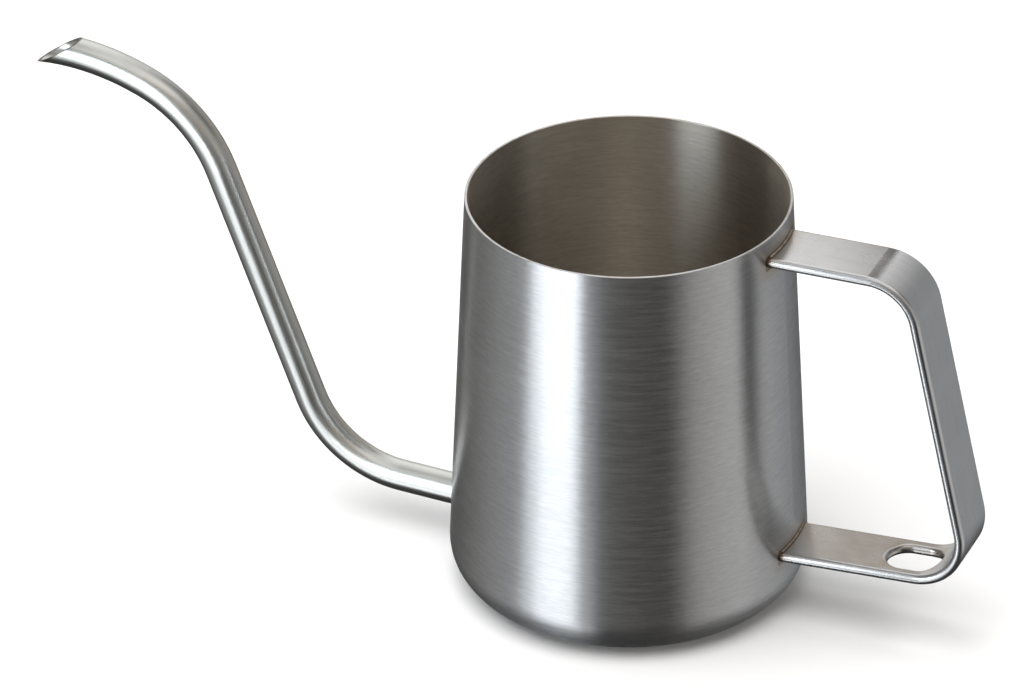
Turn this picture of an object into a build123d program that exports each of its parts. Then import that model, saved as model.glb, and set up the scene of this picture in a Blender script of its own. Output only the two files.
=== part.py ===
from build123d import *
import os
from math import asin, cos, degrees, radians, sin

# One-cup pour-over drip pot without a lid, in brushed stainless steel, in millimetres.
# The origin is the centre of the base's underside. +Z is up, +X points at the handle
# and -X at the spout, and both of them lie in the plane Y = 0.
# Nothing moves: three formed pieces are held together by five weld beads.

# ---- Driving dimensions ----

# Vessel: a cone that narrows upward, closed by a flat floor with a rounded corner.
BASE_RADIUS = 40.0  # outside radius of the wall's line, carried down to the table
RIM_RADIUS = 35.4  # outside radius at the rim
HEIGHT = 94.6
WALL = 0.65
CORNER_RADIUS = 9.4  # outside radius between the wall and the floor
RIM_EDGE_ROUND = 0.15

# Spout: one bent tube. Angles are climbs above the horizontal, going away from the vessel.
TUBE_RADIUS = 3.5
TUBE_WALL = 0.4
TUBE_HOLE_CLEARANCE = 0.02  # gap all round the tube where it passes the wall
SPOUT_ROOT_HEIGHT = 10.2  # height of the tube's axis at its inner end
SPOUT_INSERT = 2.0  # how far the tube reaches in from the outside of the wall
ROOT_CLIMB = 2.2
ROOT_LENGTH = 17.2
LOWER_BEND_RADIUS = 24.4
NECK_CLIMB = 69.2
NECK_LENGTH = 57.3
UPPER_BEND_RADIUS = 32.3
SHOULDER_CLIMB = 22.0  # the upper bend opens out to a wider radius from here
CREST_BEND_RADIUS = 54.0
TIP_CLIMB = -5.5
TIP_ALLOWANCE = 6.0  # straight end of the tube, which the mouth's cut removes

# Mouth: one slanted cut, so that the lower lip reaches furthest.
MOUTH_X = -135.4  # where the cut crosses the tube's axis
MOUTH_Z = 102.4
MOUTH_SLOPE = 33.9  # angle between the cut and the horizontal

# Handle: one flat strap, bent twice. Points are on the strap's middle plane.
STRAP_WIDTH = 15.0
STRAP_THICKNESS = 2.3
STRAP_EDGE_ROUND = 1.1
STRAP_BEND_RADIUS = 11.0
UPPER_JOINT_HEIGHT = 89.0  # where the upper arm meets the wall
LOWER_JOINT_HEIGHT = 15.6  # where the lower arm meets the wall
UPPER_CORNER = (66.2, 89.5)  # the two corners, before they are bent round
LOWER_CORNER = (82.1, 18.0)
COPE_ALLOWANCE = 6.0  # extra strap past each joint, which the wall's shape removes

# Hanging slot: punched through the lower arm, next to the lower bend.
SLOT_X = 67.2
SLOT_LENGTH = 12.4
SLOT_WIDTH = 8.8
SLOT_EDGE_ROUND = 1.0

# Weld beads.
BEAD_RADIUS = 0.6  # along both of the handle's joints
SPOUT_BEAD_WIDTH = 0.7  # measured out from the tube
SPOUT_BEAD_SETBACK = 0.5  # bare tube left inside the bead
SPOUT_BEAD_ROUND = 0.45


# ---- Shared shapes ----


def wall_radius(height):
    """Outside radius of the conical wall at a height."""
    return BASE_RADIUS + (RIM_RADIUS - BASE_RADIUS) * height / HEIGHT


def turned_body(inset, floor, top, corner):
    """Solid of revolution whose side follows the wall's line, moved inward by inset."""
    outline = Polyline(
        (0, floor),
        (wall_radius(floor) - inset, floor),
        (wall_radius(top) - inset, top),
        (0, top),
        close=True,
    )
    half = Plane.XZ * make_face(outline)
    foot = half.vertices().sort_by(Axis.X)[-1]
    return revolve(fillet(foot, corner), Axis.Z)


def vessel_outside():
    return turned_body(0, 0, HEIGHT, CORNER_RADIUS)


def vessel_cavity():
    """Space inside the vessel, carried on a little above the rim."""
    return turned_body(WALL, WALL, HEIGHT + 1, CORNER_RADIUS - WALL)


def spout_path():
    """Centre line of the tube: lines and arcs that run into each other smoothly."""
    start = (SPOUT_INSERT - wall_radius(SPOUT_ROOT_HEIGHT), SPOUT_ROOT_HEIGHT)
    root = PolarLine(start, ROOT_LENGTH, 180 - ROOT_CLIMB)
    lower = JernArc(root @ 1, root % 1, LOWER_BEND_RADIUS, ROOT_CLIMB - NECK_CLIMB)
    neck = PolarLine(lower @ 1, NECK_LENGTH, 180 - NECK_CLIMB)
    upper = JernArc(neck @ 1, neck % 1, UPPER_BEND_RADIUS, NECK_CLIMB - SHOULDER_CLIMB)
    crest = JernArc(upper @ 1, upper % 1, CREST_BEND_RADIUS, SHOULDER_CLIMB - TIP_CLIMB)
    tip = PolarLine(crest @ 1, TIP_ALLOWANCE, 180 - TIP_CLIMB)
    return Plane.XZ * Wire([root, lower, neck, upper, crest, tip])


def spout_start():
    """Plane across the inner end of the tube, which faces along the tube."""
    path = spout_path()
    return Plane(origin=path @ 0, z_dir=path % 0)


def spout_rod(radius):
    """Solid rod that follows the centre line of the tube."""
    return sweep(spout_start() * Circle(radius), path=spout_path())


def carried_on(start, joint):
    """Point past a joint, on the line that reaches it from start."""
    run = Vector(*joint) - Vector(*start)
    end = Vector(*joint) + run.normalized() * COPE_ALLOWANCE
    return (end.X, end.Y)


def strap_path():
    """Middle line of the strap, carried on into the vessel at both ends."""
    upper_joint = (wall_radius(UPPER_JOINT_HEIGHT), UPPER_JOINT_HEIGHT)
    lower_joint = (wall_radius(LOWER_JOINT_HEIGHT), LOWER_JOINT_HEIGHT)
    line = FilletPolyline(
        carried_on(UPPER_CORNER, upper_joint),
        UPPER_CORNER,
        LOWER_CORNER,
        carried_on(LOWER_CORNER, lower_joint),
        radius=STRAP_BEND_RADIUS,
    )
    return Plane.XZ * line


# ---- Formed pieces ----


def vessel_shell():
    """Thin one-piece vessel with an open top and a round hole for the spout."""
    shell = vessel_outside() - vessel_cavity()
    rim = shell.edges().group_by(Axis.Z)[-1]
    return fillet(rim, RIM_EDGE_ROUND) - spout_rod(TUBE_RADIUS + TUBE_HOLE_CLEARANCE)


def spout_tube():
    """Bent tube with a slanted mouth; its inner end stands a little way inside the wall."""
    tube = spout_rod(TUBE_RADIUS) - spout_rod(TUBE_RADIUS - TUBE_WALL)
    slope = radians(MOUTH_SLOPE)
    mouth = Plane(
        origin=(MOUTH_X, 0, MOUTH_Z),
        x_dir=(0, 1, 0),
        z_dir=(-sin(slope), 0, cos(slope)),
    )
    size = 8 * TUBE_RADIUS
    cutter = Box(size, size, size, align=(Align.CENTER, Align.CENTER, Align.MIN))
    return tube - mouth * cutter


def handle_strap():
    """Bent strap, coped to the wall at both ends, with the hanging slot."""
    path = strap_path()
    start = Plane(origin=path @ 0, x_dir=(0, 1, 0), z_dir=path % 0)
    section = start * RectangleRounded(STRAP_WIDTH, STRAP_THICKNESS, STRAP_EDGE_ROUND)
    strap = sweep(section, path=path) - vessel_outside()
    slot = extrude(SlotOverall(SLOT_LENGTH, SLOT_WIDTH), 2 * STRAP_THICKNESS, both=True)
    punch = Pos(SLOT_X, 0, LOWER_CORNER[1]) * slot
    punched = strap - punch
    rims = new_edges(strap, punch, combined=punched).filter_by(Axis.Z, reverse=True)
    return fillet(rims, SLOT_EDGE_ROUND)


# ---- Weld beads ----


def handle_weld(face_height):
    """Quarter-round bead in the corner between the wall and one face of the strap."""
    wall = wall_radius(face_height)
    half_width = STRAP_WIDTH / 2 - STRAP_EDGE_ROUND
    half_angle = degrees(asin(half_width / wall))
    profile = Plane.XZ * Pos(wall, face_height) * Circle(BEAD_RADIUS)
    ring = Rot(0, 0, -half_angle) * revolve(profile, Axis.Z, 2 * half_angle)
    return ring - vessel_outside() - handle_strap()


def spout_weld():
    """Bead inside the vessel, round the stub of the tube."""
    collar = Cylinder(
        TUBE_RADIUS + SPOUT_BEAD_WIDTH,
        SPOUT_INSERT,
        align=(Align.CENTER, Align.CENTER, Align.MIN),
    )
    crown = collar.edges().group_by(Axis.Z)[0]
    bead = spout_start().offset(SPOUT_BEAD_SETBACK) * fillet(crown, SPOUT_BEAD_ROUND)
    return (bead & vessel_cavity()) - spout_rod(TUBE_RADIUS)


# ---- Output ----

half_strap = STRAP_THICKNESS / 2
nodes = {
    "vessel_shell": vessel_shell(),
    "spout_tube": spout_tube(),
    "handle_strap": handle_strap(),
    "upper_handle_top_weld": handle_weld(UPPER_JOINT_HEIGHT + half_strap),
    "upper_handle_under_weld": handle_weld(UPPER_JOINT_HEIGHT - half_strap),
    "lower_handle_top_weld": handle_weld(LOWER_JOINT_HEIGHT + half_strap),
    "lower_handle_under_weld": handle_weld(LOWER_JOINT_HEIGHT - half_strap),
    "spout_weld": spout_weld(),
}

os.makedirs("parts", exist_ok=True)
for node, shape in nodes.items():
    export_step(shape, "parts/" + node + ".step")
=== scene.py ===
"""Looks for the drip pot: brushed steel, weld beads with heat tint, a pale floor and a soft studio."""

import math

import bpy
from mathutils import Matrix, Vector


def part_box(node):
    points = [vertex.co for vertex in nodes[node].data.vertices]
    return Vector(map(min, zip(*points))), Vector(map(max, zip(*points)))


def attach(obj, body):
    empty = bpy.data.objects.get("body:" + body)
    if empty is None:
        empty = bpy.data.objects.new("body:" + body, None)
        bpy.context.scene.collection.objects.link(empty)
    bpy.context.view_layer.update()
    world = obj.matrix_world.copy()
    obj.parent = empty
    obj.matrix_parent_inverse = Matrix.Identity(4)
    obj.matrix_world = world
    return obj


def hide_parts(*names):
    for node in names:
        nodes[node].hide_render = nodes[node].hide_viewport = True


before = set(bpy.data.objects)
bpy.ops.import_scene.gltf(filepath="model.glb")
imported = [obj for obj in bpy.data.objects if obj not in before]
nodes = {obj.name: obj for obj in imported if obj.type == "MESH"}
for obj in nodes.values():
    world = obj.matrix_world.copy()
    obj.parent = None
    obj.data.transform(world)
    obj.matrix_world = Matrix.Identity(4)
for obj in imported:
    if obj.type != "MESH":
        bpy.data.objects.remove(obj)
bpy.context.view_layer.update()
MM = 0.001

# ---- Driving dimensions, from the CAD, in metres ----

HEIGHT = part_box("vessel_shell")[1].z
BASE_RADIUS = 40.0 * MM  # the wall's line carried down to the table
RIM_RADIUS = 35.4 * MM
STRAP_HALF_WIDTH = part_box("handle_strap")[1].y
STRAP_HALF_THICKNESS = 1.15 * MM
UPPER_JOINT_HEIGHT = 89.0 * MM
LOWER_JOINT_HEIGHT = 15.6 * MM
MOUTH_POINT = (-135.4 * MM, 0, 102.4 * MM)  # where the mouth's cut crosses the tube's axis
MOUTH_SLOPE = math.radians(33.9)
SLOT_X = 67.2 * MM

# ---- Camera: a long lens, to the right of the front and well above ----

VIEW_AZIMUTH = math.radians(22.18)
VIEW_ELEVATION = math.radians(30.865)
VIEW_DISTANCE = 1.56
VIEW_TARGET = Vector((0, 0, 57.53 * MM))
LENS = 252.16
SENSOR_WIDTH = 36
SHIFT_X = -0.11412
CLIP_START = 0.01
CLIP_END = 20


def add_camera():
    data = bpy.data.cameras.new("camera")
    data.lens = LENS
    data.sensor_width = SENSOR_WIDTH
    data.shift_x = SHIFT_X
    data.clip_start = CLIP_START
    data.clip_end = CLIP_END
    camera = bpy.data.objects.new("camera", data)
    flat = math.cos(VIEW_ELEVATION)
    back = Vector((
        math.sin(VIEW_AZIMUTH) * flat,
        -math.cos(VIEW_AZIMUTH) * flat,
        math.sin(VIEW_ELEVATION),
    ))
    camera.location = VIEW_TARGET + back * VIEW_DISTANCE
    camera.rotation_euler = (-back).to_track_quat("-Z", "Y").to_euler()
    bpy.context.scene.collection.objects.link(camera)
    bpy.context.scene.camera = camera


# ---- Short way to write node trees ----

NOISE_LOW = 0.3  # noise seldom leaves the range between these two
NOISE_HIGH = 0.7


class Tree:
    """A node tree in which every call adds nodes and returns the last one's output socket."""

    def __init__(self, tree):
        self.tree = tree
        tree.nodes.clear()

    def node(self, kind, inputs=None, output=0, **settings):
        """Adds a node. Inputs are sockets or plain values; output is a socket's name or number."""
        made = self.tree.nodes.new(kind)
        for name, value in settings.items():
            setattr(made, name, value)
        for key, value in (inputs or {}).items():
            self.feed(made.inputs[key], value)
        return made.outputs[output] if made.outputs else None

    def feed(self, socket, value):
        if isinstance(value, bpy.types.NodeSocket):
            self.tree.links.new(value, socket)
        else:
            socket.default_value = value

    # Numbers

    def math(self, operation, *values, clamp=False):
        inputs = dict(enumerate(values))
        return self.node("ShaderNodeMath", inputs, operation=operation, use_clamp=clamp)

    def add(self, first, second):
        return self.math("ADD", first, second)

    def subtract(self, first, second):
        return self.math("SUBTRACT", first, second)

    def multiply(self, first, second):
        return self.math("MULTIPLY", first, second)

    def length(self, first, second):
        """Length of the vector whose two components these are."""
        squares = self.add(self.multiply(first, first), self.multiply(second, second))
        return self.math("SQRT", squares)

    def fade(self, value, low, high, start=0.0, end=1.0):
        """Smooth step from start, at low, to end, at high."""
        inputs = {"Value": value, "From Min": low, "From Max": high, "To Min": start, "To Max": end}
        return self.node("ShaderNodeMapRange", inputs, interpolation_type="SMOOTHSTEP")

    def vary(self, noise, start, end):
        """Smooth step from start to end over the range of a noise."""
        return self.fade(noise, NOISE_LOW, NOISE_HIGH, start, end)

    def noise(self, vector, scale, detail=2.0, rough=0.5):
        inputs = {"Vector": vector, "Scale": scale, "Detail": detail, "Roughness": rough}
        return self.node("ShaderNodeTexNoise", inputs)

    # Vectors

    def place(self):
        """Position in the object's frame, which is the CAD's."""
        return self.node("ShaderNodeTexCoord", output="Object")

    def normal(self):
        return self.node("ShaderNodeNewGeometry", output="Normal")

    def vector(self, operation, *values, output="Vector"):
        inputs = dict(enumerate(values))
        return self.node("ShaderNodeVectorMath", inputs, output=output, operation=operation)

    def scale(self, vector, factor):
        inputs = {0: vector, "Scale": factor}
        return self.node("ShaderNodeVectorMath", inputs, operation="SCALE")

    def dot(self, first, second):
        return self.vector("DOT_PRODUCT", first, second, output="Value")

    def split(self, vector):
        made = self.node("ShaderNodeSeparateXYZ", {0: vector}).node
        return made.outputs[:3]

    def join(self, x, y, z):
        return self.node("ShaderNodeCombineXYZ", {0: x, 1: y, 2: z})

    # Colours

    def mix(self, factor, first, second):
        """Colour between two others. A Mix node's colours are its inputs 6 and 7 and output 2."""
        inputs = {"Factor": factor, 6: first, 7: second}
        return self.node("ShaderNodeMix", inputs, output=2, data_type="RGBA")

    def ramp(self, value, stops):
        """Colour ramp over 0 to 1 from (position, colour) pairs."""
        made = self.tree.nodes.new("ShaderNodeValToRGB")
        ramp = made.color_ramp
        while len(ramp.elements) < len(stops):
            ramp.elements.new(0.5)
        for element, (position, colour) in zip(ramp.elements, stops):
            element.position = position
            element.color = colour
        self.tree.links.new(value, made.inputs[0])
        return made.outputs[0]


def grey(value, warmth=0.0):
    """Colour of a given brightness; warmth above 0 leans to brown, below 0 to blue."""
    return (value * (1 + warmth), value, value * (1 - warmth), 1.0)


def new_material(name):
    material = bpy.data.materials.new(name)
    material.use_nodes = True
    return material, Tree(material.node_tree)


# ---- Studio ----

# What the steel mirrors, by direction, as rings of light round the object: well below the
# horizon, on it, some 35 degrees above it and near the zenith. Compass angles are measured from
# the camera's side, positive to the camera's right, in degrees. Each entry is
# (angle, brightness, warmth).
LOW_RING = [
    (-180, 0.30, 0.0),
    (-168, 0.10, 0.0),
    (-155, 0.02, 0.0),
    (-135, 0.08, 0.02),
    (-110, 0.28, 0.01),
    (-100, 0.38, 0.0),
    (-90, 0.47, -0.01),
    (-75, 0.53, -0.03),
    (-60, 0.58, -0.04),
    (-35, 0.36, -0.06),
    (-22, 0.22, -0.05),
    (-10, 0.08, 0.0),
    (5, 0.03, 0.0),
    (24, 0.01, 0.0),
    (31, 0.08, 0.03),
    (42, 0.44, 0.02),
    (75, 0.84, 0.0),
    (95, 0.65, 0.0),
    (115, 0.50, -0.02),
    (140, 0.24, -0.03),
    (155, 0.09, 0.0),
    (167, 0.10, 0.0),
]
MIDDLE_RING = [
    (-180, 0.85, 0.02),
    (-150, 0.66, 0.02),
    (-110, 0.32, 0.01),
    (-73, 0.30, 0.0),
    (-66, 0.50, 0.0),
    (-34, 0.50, 0.0),
    (-26, 0.32, 0.0),
    (-10, 0.24, 0.01),
    (14, 0.16, 0.01),
    (24, 0.13, 0.01),
    (35, 0.36, 0.02),
    (50, 0.58, 0.02),
    (84, 0.40, 0.02),
    (117, 0.37, -0.02),
    (148, 0.36, -0.02),
    (170, 0.70, 0.01),
]
HIGH_RING = [
    (-180, 1.42, 0.0),
    (-150, 0.80, 0.01),
    (-110, 0.12, 0.01),
    (-76, 0.12, 0.0),
    (-67, 0.44, 0.0),
    (-34, 0.44, 0.0),
    (-24, 0.42, 0.05),
    (-4, 0.40, 0.10),
    (30, 0.44, 0.10),
    (48, 0.50, 0.06),
    (70, 0.42, 0.03),
    (98, 0.08, 0.02),
    (124, 0.40, 0.0),
    (138, 0.60, 0.0),
    (152, 0.74, 0.0),
    (172, 1.38, 0.0),
]
TOP_RING = [
    (-180, 1.35, 0.0),
    (-150, 0.90, 0.0),
    (-112, 0.20, 0.0),
    (-80, 0.20, 0.0),
    (-68, 1.25, 0.0),
    (-20, 1.10, 0.02),
    (60, 1.35, 0.03),
    (84, 1.20, 0.02),
    (113, 0.65, 0.0),
    (130, 0.55, 0.0),
    (155, 1.10, 0.0),
]
CEILING = grey(1.0)
GROUND = grey(0.05)

# Heights at which one ring gives way to the next, as sines of the elevation: (start, end).
LOW_TO_MIDDLE = (-0.38, 0.0)
MIDDLE_TO_HIGH = (0.15, 0.5)
HIGH_TO_TOP = (0.68, 0.92)
TOP_TO_CEILING = (0.92, 0.98)
LOW_TO_GROUND = (-0.50, -0.78)

# Upright glowing panels that only mirrored rays meet: (name, two ends, low, high, colour). Each
# end is (compass angle, distance). The floor hides nothing from mirrored rays, so the key light
# carries on below the table, as its image in a glossy table would.
PANELS = [
    ("key_panel", (-65.2, 0.507), (-30.5, 0.286), 0.0, 0.090, grey(4.4, -0.04)),
    ("key_mirror", (-65.2, 0.507), (-30.5, 0.286), -0.165, 0.0, grey(1.4, -0.05)),
    ("key_mirror_low", (-59.0, 0.432), (-33.0, 0.295), -0.250, -0.165, grey(3.2, -0.05)),
    ("key_mirror_end", (-33.0, 0.295), (-22.0, 0.300), -0.260, -0.170, grey(1.8, -0.03)),
    ("high_panel", (-63.0, 0.479), (-36.0, 0.297), 0.090, 0.280, grey(4.2, -0.10)),
    ("back_panel", (172.0, 0.190), (150.0, 0.190), 0.0, 0.185, grey(0.41, 0.16)),
    ("dark_panel", (166.0, 0.239), (151.0, 0.248), 0.19, 0.40, grey(0.12, 0.03)),
]

FLOOR_HALF_SIZE = 6.0
FLOOR_COLOUR = grey(0.88)
FLOOR_NEAR = 0.3  # the lit floor starts to give way to the background here
FLOOR_FAR = 0.9
BACKGROUND = grey(0.96)

TOP_LIGHT_PLACE = Vector((-0.2, -0.3, 1.3))
TOP_LIGHT_SIZE = 1.6
TOP_LIGHT_POWER = 22


def compass(angle, distance, height):
    """Point at a compass angle, in degrees, and a distance from the vessel's axis."""
    turn = VIEW_AZIMUTH + math.radians(angle)
    return (distance * math.sin(turn), -distance * math.cos(turn), height)


def ring_colour(tree, turn, ring):
    """Colour of a ring of the studio; turn is the compass angle as a share of a full circle."""
    return tree.ramp(turn, [((angle + 180) / 360, grey(*tone)) for angle, *tone in ring])


def add_world():
    """Studio seen in the steel, worked out from the direction of the ray; plain to the camera."""
    world = bpy.data.worlds.new("studio")
    bpy.context.scene.world = world
    world.use_nodes = True
    tree = Tree(world.node_tree)
    direction = tree.node("ShaderNodeTexCoord", output="Generated")
    height = tree.split(direction)[2]
    across = tree.dot(direction, compass(90, 1, 0))
    towards = tree.dot(direction, compass(0, 1, 0))
    angle = tree.math("ARCTAN2", across, towards)
    turn = tree.math("MULTIPLY_ADD", angle, 1 / math.tau, 0.5)
    colour = ring_colour(tree, turn, LOW_RING)
    for band, ring in (
        (LOW_TO_MIDDLE, MIDDLE_RING),
        (MIDDLE_TO_HIGH, HIGH_RING),
        (HIGH_TO_TOP, TOP_RING),
    ):
        colour = tree.mix(tree.fade(height, *band), colour, ring_colour(tree, turn, ring))
    colour = tree.mix(tree.fade(height, *TOP_TO_CEILING), colour, CEILING)
    colour = tree.mix(tree.fade(height, *LOW_TO_GROUND), colour, GROUND)
    seen = tree.node("ShaderNodeLightPath", output="Is Camera Ray")
    shown = tree.node("ShaderNodeBackground", {"Color": tree.mix(seen, colour, BACKGROUND)})
    tree.node("ShaderNodeOutputWorld", {"Surface": shown})


def flat_sheet(name, corners, material):
    """Stage object with one face."""
    mesh = bpy.data.meshes.new(name)
    mesh.from_pydata(corners, [], [(0, 1, 2, 3)])
    mesh.materials.append(material)
    sheet = bpy.data.objects.new(name, mesh)
    bpy.context.scene.collection.objects.link(sheet)
    return sheet


def add_floor():
    """Pale floor that runs into the background. The steel mirrors the studio's ground instead."""
    material, tree = new_material("pale_floor")
    near = tree.node("ShaderNodeBsdfDiffuse", {"Color": FLOOR_COLOUR})
    far = tree.node("ShaderNodeEmission", {"Color": BACKGROUND})
    distance = tree.vector("LENGTH", tree.place(), output="Value")
    reach = tree.fade(distance, FLOOR_NEAR, FLOOR_FAR)
    shade = tree.node("ShaderNodeMixShader", {0: reach, 1: near, 2: far})
    tree.node("ShaderNodeOutputMaterial", {"Surface": shade})
    signs = ((-1, -1), (1, -1), (1, 1), (-1, 1))
    corners = [(x * FLOOR_HALF_SIZE, y * FLOOR_HALF_SIZE, 0) for x, y in signs]
    floor = flat_sheet("floor", corners, material)
    floor.visible_glossy = False


def add_panels():
    for name, first, second, low, high, colour in PANELS:
        corners = [
            compass(*first, low),
            compass(*first, high),
            compass(*second, high),
            compass(*second, low),
        ]
        material, tree = new_material(name)
        glow = tree.node("ShaderNodeEmission", {"Color": colour})
        tree.node("ShaderNodeOutputMaterial", {"Surface": glow})
        panel = flat_sheet(name, corners, material)
        panel.visible_camera = False
        panel.visible_diffuse = False
        panel.visible_shadow = False


def add_top_light():
    """Wide overhead light for the floor and its soft shadow; the steel doesn't mirror it."""
    data = bpy.data.lights.new("top_light", "AREA")
    data.shape = "SQUARE"
    data.size = TOP_LIGHT_SIZE
    data.energy = TOP_LIGHT_POWER
    light = bpy.data.objects.new("top_light", data)
    light.location = TOP_LIGHT_PLACE
    light.rotation_euler = (-TOP_LIGHT_PLACE).to_track_quat("-Z", "Y").to_euler()
    light.visible_glossy = False
    bpy.context.scene.collection.objects.link(light)


# ---- Steel ----

STEEL = (0.60, 0.60, 0.60, 1.0)
TUBE_STEEL = (0.60, 0.60, 0.57, 1.0)
# Inside, the steel is brighter and warmer than outside. This is a painted warm glow that stands in for
# light bouncing round the inside.
INSIDE_STEEL_PAINTED_WARM = (0.645, 0.595, 0.52, 1.0)
TINT_BROWN = (0.16, 0.10, 0.06, 1.0)
# Straw is the heat tint's colour. It also serves as the painted warm reflection round the slot.
STRAW_TINT_AND_WARM_REFLECTION = (0.48, 0.41, 0.33, 1.0)
CUT_EDGE = (0.14, 0.12, 0.10, 1.0)
BEAD_LIGHT = (0.60, 0.54, 0.45, 1.0)

# Ranges over which a noise varies each surface.
SHELL_BRIGHTNESS = (0.84, 1.08)
SHELL_ROUGHNESS = (0.31, 0.35)
TUBE_BRIGHTNESS = (0.95, 1.03)
TUBE_ROUGHNESS = (0.27, 0.33)
STRAP_BRIGHTNESS = (0.96, 1.02)
STRAP_ROUGHNESS = (0.23, 0.29)
BEAD_ROUGHNESS = (0.28, 0.42)

# Brushing of the shell, which is rougher inside.
SHELL_ANISOTROPY = 0.88
ANISOTROPY_ADDED_INSIDE = 0.10
ROUGHNESS_ADDED_INSIDE = 0.06
ANISOTROPY_TURN = 0.25  # of a full turn, so that highlights are drawn out across the streaks
STREAK_SWAY = 0.06  # how far short streaks tip the surface along the brushing

# Lines on the strap: noise scales that are low along it and high across it.
STRAP_LINE_SCALES = (60.0, 3200.0, 60.0)

# Heat tint round the joints: a dark line at the bead, then straw that reaches further out.
DARK_TINT_START = 0.4 * MM
DARK_TINT_END = 0.8 * MM
STRAP_STRAW_START = 0.4 * MM
STRAP_STRAW_END = 4.5 * MM
STRAP_STRAW_SWAY = 0.6 * MM  # how far the straw's outline wanders either way
TINT_LOST_INSIDE = 0.85  # share of the wall's tint that doesn't show on the inside

# Other darkening: at the mouth's cut, by height against it, and, as a painted warm reflection, round
# the slot, from its centre.
CUT_FADE = (-0.25 * MM, -0.03 * MM)
SLOT_FADE_ALONG = (5.5 * MM, 7.5 * MM)
SLOT_FADE_ACROSS = (4.0 * MM, 6.0 * MM)


def finish_material(tree, **inputs):
    """One metal surface with the given inputs; underscores stand for spaces."""
    named = {key.replace("_", " "): value for key, value in inputs.items()}
    shade = tree.node("ShaderNodeBsdfPrincipled", {"Metallic": 1.0, **named})
    tree.node("ShaderNodeOutputMaterial", {"Surface": shade})


def bump(tree, height, strength, depth, **inputs):
    return tree.node(
        "ShaderNodeBump",
        {"Strength": strength, "Distance": depth, "Height": height, **inputs},
    )


def shell_streaks(tree, x, y, z):
    """Function that gives brushed streaks: so long round the vessel, so far apart up the wall."""
    turn = tree.math("ARCTAN2", y, x)
    climb = tree.subtract(z, tree.length(x, y))  # goes on across the floor

    def streaks(length, pitch, detail=2.0):
        round_it = tree.multiply(turn, BASE_RADIUS / length)
        up_it = tree.multiply(climb, 1 / pitch)
        return tree.noise(tree.join(round_it, up_it, 0.0), scale=1.0, detail=detail, rough=0.6)

    return streaks


def inside_mask(tree, x, y, z, normal):
    """1 where the shell faces its axis or, in the lower half, upward; 0 elsewhere."""
    outward = tree.vector("NORMALIZE", tree.join(x, y, 0.0))
    facing_out = tree.dot(normal, outward)
    in_lower_half = tree.math("LESS_THAN", z, 0.5 * HEIGHT)
    facing_up = tree.multiply(tree.split(normal)[2], in_lower_half)
    return tree.math("GREATER_THAN", tree.subtract(facing_up, facing_out), 0.0)


def weld_tint(tree, colour, x, y, z):
    """Brown heat tint on the wall round both handle joints."""
    beside = tree.subtract(tree.math("ABSOLUTE", y), STRAP_HALF_WIDTH)
    beside = tree.math("MAXIMUM", beside, 0.0)
    handle_side = tree.math("GREATER_THAN", x, 0.0)
    for height, reach, strength in (
        (UPPER_JOINT_HEIGHT, 4.5 * MM, 0.7),
        (LOWER_JOINT_HEIGHT, 3.5 * MM, 0.5),
    ):
        above = tree.math("ABSOLUTE", tree.subtract(z, height))
        above = tree.math("MAXIMUM", tree.subtract(above, STRAP_HALF_THICKNESS), 0.0)
        gap = tree.length(beside, above)
        for start, end, tint in (
            (0.0, reach, STRAW_TINT_AND_WARM_REFLECTION),
            (DARK_TINT_START, DARK_TINT_END, TINT_BROWN),
        ):
            near = tree.multiply(tree.fade(gap, start, end, strength, 0.0), handle_side)
            colour = tree.mix(near, colour, tint)
    return colour


def shell_material():
    """Steel brushed round the vessel, inside and out, with heat tint at the handle's joints and a
    painted warm glow inside.
    """
    material, tree = new_material("brushed_shell")
    place = tree.place()
    x, y, z = tree.split(place)
    normal = tree.normal()
    tangent = tree.node("ShaderNodeTangent", direction_type="RADIAL", axis="Z")
    inside = inside_mask(tree, x, y, z, normal)

    streaks = shell_streaks(tree, x, y, z)
    fine = streaks(length=3.0 * MM, pitch=0.22 * MM)
    broad = streaks(length=14 * MM, pitch=0.8 * MM)
    short = streaks(length=1.6 * MM, pitch=0.25 * MM, detail=1.0)
    cloud = tree.noise(place, scale=60.0)
    lines = tree.add(tree.multiply(fine, 0.6), tree.multiply(broad, 0.4))
    bright = tree.add(tree.vary(lines, *SHELL_BRIGHTNESS), tree.vary(cloud, -0.02, 0.02))

    # the inside takes the steel with its painted warm glow
    steel = tree.scale(tree.mix(inside, STEEL, INSIDE_STEEL_PAINTED_WARM), bright)
    tinted = weld_tint(tree, steel, x, y, z)
    colour = tree.mix(tree.multiply(inside, TINT_LOST_INSIDE), tinted, steel)

    sway = tree.multiply(tree.subtract(short, 0.5), STREAK_SWAY)
    swayed = tree.vector("NORMALIZE", tree.vector("ADD", normal, tree.scale(tangent, sway)))
    rough = tree.vary(broad, *SHELL_ROUGHNESS)
    finish_material(
        tree,
        Base_Color=colour,
        Roughness=tree.math("MULTIPLY_ADD", inside, ROUGHNESS_ADDED_INSIDE, rough),
        Anisotropic=tree.math("MULTIPLY_ADD", inside, ANISOTROPY_ADDED_INSIDE, SHELL_ANISOTROPY),
        Anisotropic_Rotation=ANISOTROPY_TURN,
        Tangent=tangent,
        Normal=bump(tree, fine, strength=0.12, depth=0.02 * MM, Normal=swayed),
    )
    return material


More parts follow.
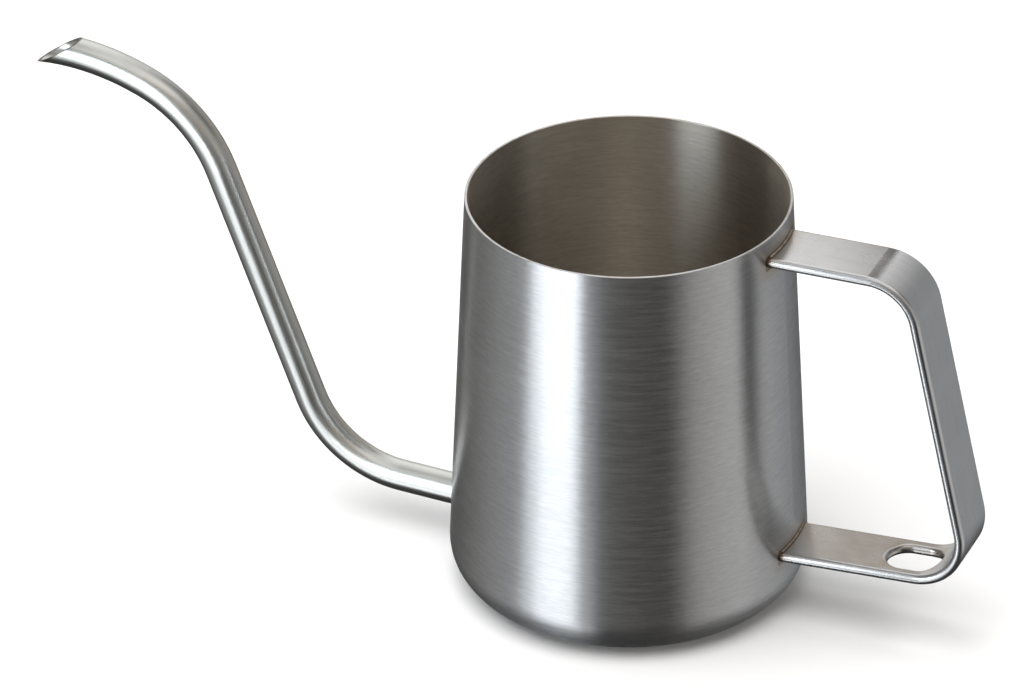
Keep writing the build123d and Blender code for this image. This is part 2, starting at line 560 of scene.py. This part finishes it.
def tube_material():
    """Smooth satin tube with slightly uneven polish and a darkened cut at the mouth."""
    material, tree = new_material("brushed_tube")
    place = tree.place()
    # Changes quickly round the tube, with its normal, and slowly along it
    lengthwise = tree.vector("ADD", tree.scale(tree.normal(), 14.0), tree.scale(place, 60.0))
    streak = tree.noise(lengthwise, scale=1.0)
    cloud = tree.noise(place, scale=180.0)
    bright = tree.add(tree.vary(streak, *TUBE_BRIGHTNESS), tree.vary(cloud, -0.02, 0.02))
    colour = tree.scale(TUBE_STEEL[:3], bright)

    out_of_mouth = (-math.sin(MOUTH_SLOPE), 0, math.cos(MOUTH_SLOPE))
    above_cut = tree.dot(tree.vector("SUBTRACT", place, MOUTH_POINT), out_of_mouth)
    at_cut = tree.fade(above_cut, *CUT_FADE, start=0.0, end=0.9)
    finish_material(
        tree,
        Base_Color=tree.mix(at_cut, colour, CUT_EDGE),
        Roughness=tree.vary(streak, *TUBE_ROUGHNESS),
        Normal=bump(tree, cloud, strength=0.25, depth=0.05 * MM),
    )
    return material


def joint_tint(tree, colour, x, y, z, cloud):
    """Heat tint on the strap, next to the wall at both ends."""
    wall = tree.math("MULTIPLY_ADD", z, (RIM_RADIUS - BASE_RADIUS) / HEIGHT, BASE_RADIUS)
    off_wall = tree.subtract(tree.length(x, y), wall)
    uneven = tree.add(off_wall, tree.vary(cloud, -STRAP_STRAW_SWAY, STRAP_STRAW_SWAY))
    straw = tree.fade(uneven, STRAP_STRAW_START, STRAP_STRAW_END, start=0.5, end=0.0)
    brown = tree.fade(off_wall, DARK_TINT_START, DARK_TINT_END, start=0.8, end=0.0)
    return tree.mix(brown, tree.mix(straw, colour, STRAW_TINT_AND_WARM_REFLECTION), TINT_BROWN)


def slot_painted_reflection(tree, colour, x, y, z):
    """Faint painted warm reflection round the hanging slot, in the lower arm only."""
    along = tree.math("ABSOLUTE", tree.subtract(x, SLOT_X))
    beside = tree.math("ABSOLUTE", y)
    by_ends = tree.fade(along, *SLOT_FADE_ALONG, start=0.5, end=0.0)
    by_sides = tree.fade(beside, *SLOT_FADE_ACROSS, start=1.0, end=0.0)
    middle_height = 0.5 * (UPPER_JOINT_HEIGHT + LOWER_JOINT_HEIGHT)
    upper_arm = tree.math("GREATER_THAN", z, middle_height)
    lower_arm = tree.subtract(1.0, upper_arm)
    return tree.mix(tree.multiply(tree.multiply(by_ends, by_sides), lower_arm), colour, STRAW_TINT_AND_WARM_REFLECTION)


def strap_material():
    """Satin strap with faint lengthwise lines, heat tint at both ends and a painted warm reflection
    round the slot.
    """
    material, tree = new_material("brushed_strap")
    place = tree.place()
    x, y, z = tree.split(place)
    lines = tree.noise(tree.vector("MULTIPLY", place, STRAP_LINE_SCALES), scale=1.0)
    cloud = tree.noise(place, scale=150.0, detail=3.0)
    grain = tree.noise(place, scale=2500.0)
    bright = tree.add(tree.vary(lines, *STRAP_BRIGHTNESS), tree.vary(cloud, -0.03, 0.03))
    colour = tree.scale(STEEL[:3], bright)
    colour = joint_tint(tree, colour, x, y, z, cloud)
    # painted warm reflection round the slot
    colour = slot_painted_reflection(tree, colour, x, y, z)
    height = tree.add(tree.multiply(lines, 0.5), tree.multiply(grain, 0.5))
    finish_material(
        tree,
        Base_Color=colour,
        Roughness=tree.vary(cloud, *STRAP_ROUGHNESS),
        Normal=bump(tree, height, strength=0.1, depth=0.03 * MM),
    )
    return material


def weld_material():
    """Rippled weld metal: a bright crest, brown in the hollows and along both edges."""
    material, tree = new_material("weld_bead")
    patch = tree.noise(tree.place(), scale=900.0)
    bent = tree.node("ShaderNodeNewGeometry", output="Pointiness")
    edge = tree.node("ShaderNodeAttribute", output="Fac", attribute_name="edge")
    hollow = tree.fade(bent, 0.52, 0.46)
    brown = tree.math("MAXIMUM", tree.fade(edge, 0.35, 0.8), tree.multiply(hollow, 0.7))
    patchy = tree.fade(patch, 0.4, 0.7, start=0.0, end=0.3)
    brown = tree.math("ADD", brown, patchy, clamp=True)
    finish_material(
        tree,
        Base_Color=tree.mix(brown, BEAD_LIGHT, TINT_BROWN),
        Roughness=tree.vary(patch, *BEAD_ROUGHNESS),
        Normal=bump(tree, patch, strength=0.2, depth=0.03 * MM),
    )
    return material


def dress(node, material):
    """Gives a CAD node its material."""
    nodes[node].material_slots[0].material = material


# ---- Weld beads ----

BEAD_SINK = 0.02 * MM  # how far a bead's corner reaches into the wall
BEAD_STEPS = 220  # along a bead
ARC_STEPS = 10  # across its quarter round
END_SHARE = 0.8  # share of the bead's radius over which its ends round off
RIPPLE_PITCH = 0.55 * MM
RIPPLE_DEPTH = 0.10  # share of the bead's radius


def wall_radius(height):
    """Outside radius of the vessel's conical wall."""
    return BASE_RADIUS + (RIM_RADIUS - BASE_RADIUS) * height / HEIGHT


def loft(name, rings, edges, material):
    """Smooth capped mesh from equal rings of points; edges holds one "edge" value per ring point."""
    size = len(rings[0])
    points = [point for ring in rings for point in ring]
    faces = []
    for here in range(0, len(points) - size, size):
        there = here + size
        for j in range(size):
            k = (j + 1) % size
            faces.append((here + j, here + k, there + k, there + j))
    faces.append(tuple(reversed(range(size))))
    faces.append(tuple(range(len(points) - size, len(points))))
    mesh = bpy.data.meshes.new(name)
    mesh.from_pydata(points, [], faces)
    mesh.validate()
    mesh.update()
    for polygon in mesh.polygons:
        polygon.use_smooth = True
    mesh.materials.append(material)
    edge = mesh.attributes.new("edge", "FLOAT", "POINT")
    for i in range(len(points)):
        edge.data[i].value = edges[i % size]
    piece = bpy.data.objects.new(name, mesh)
    bpy.context.scene.collection.objects.link(piece)
    return piece


def ripple(distance, bow):
    """Radius factor of a bead: overlapping crescents, each steep at the front."""
    phase = (distance / RIPPLE_PITCH + 0.5 * bow) % 1.0
    return 1.0 - RIPPLE_DEPTH * (1.0 - phase) ** 2


def bead_ring(wall, half_angle, face, upward, radius, share):
    """Cross-section of a bead at a share of its length: its corner, then the arc round it."""
    turn = half_angle * (2 * share - 1)
    distance = wall * (turn + half_angle)
    to_end = min(share, 1 - share) * 2 * half_angle * wall
    swell = math.sqrt(min(1.0, (to_end + BEAD_SINK) / (END_SHARE * radius)))
    outward = Vector((math.cos(turn), math.sin(turn), 0))
    upright = Vector((0, 0, upward))
    corner = outward * (wall - BEAD_SINK) + Vector((0, 0, face))
    ring = [corner]
    for j in range(ARC_STEPS + 1):
        sweep = math.pi / 2 * j / ARC_STEPS
        reach = radius * swell * ripple(distance, math.sin(2 * sweep))
        ring.append(corner + reach * (math.cos(sweep) * outward + math.sin(sweep) * upright))
    return ring


def handle_bead(node, upward, radius, material):
    """Rippled quarter-round bead between the wall and a face of the strap; upward is 1 or -1."""
    low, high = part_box(node)
    face = low.z if upward > 0 else high.z
    wall = wall_radius(face)
    half_angle = math.asin(high.y / wall)
    shares = [i / BEAD_STEPS for i in range(BEAD_STEPS + 1)]
    rings = [bead_ring(wall, half_angle, face, upward, radius, share) for share in shares]
    edges = [1.0] + [1.0 - math.sin(math.pi * j / ARC_STEPS) for j in range(ARC_STEPS + 1)]
    if upward < 0:  # keeps the faces pointing out
        rings = [list(reversed(ring)) for ring in rings]
        edges.reverse()
    piece = loft(node + "_bead", rings, edges, material)
    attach(piece, "root")
    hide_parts(node)


def add_beads():
    """Beads at the handle as rippled meshes; the one inside the vessel keeps its CAD shape."""
    material = weld_material()
    for node, upward, radius in (
        ("upper_handle_top_weld", 1, 0.5 * MM),
        ("upper_handle_under_weld", -1, 0.55 * MM),
        ("lower_handle_top_weld", 1, 0.4 * MM),
        ("lower_handle_under_weld", -1, 0.55 * MM),
    ):
        handle_bead(node, upward, radius, material)
    dress("spout_weld", material)


# ---- Build ----

add_camera()
add_world()
add_floor()
add_panels()
add_top_light()
dress("vessel_shell", shell_material())
dress("spout_tube", tube_material())
dress("handle_strap", strap_material())
add_beads()
bpy.context.scene.view_settings.view_transform = "Standard"
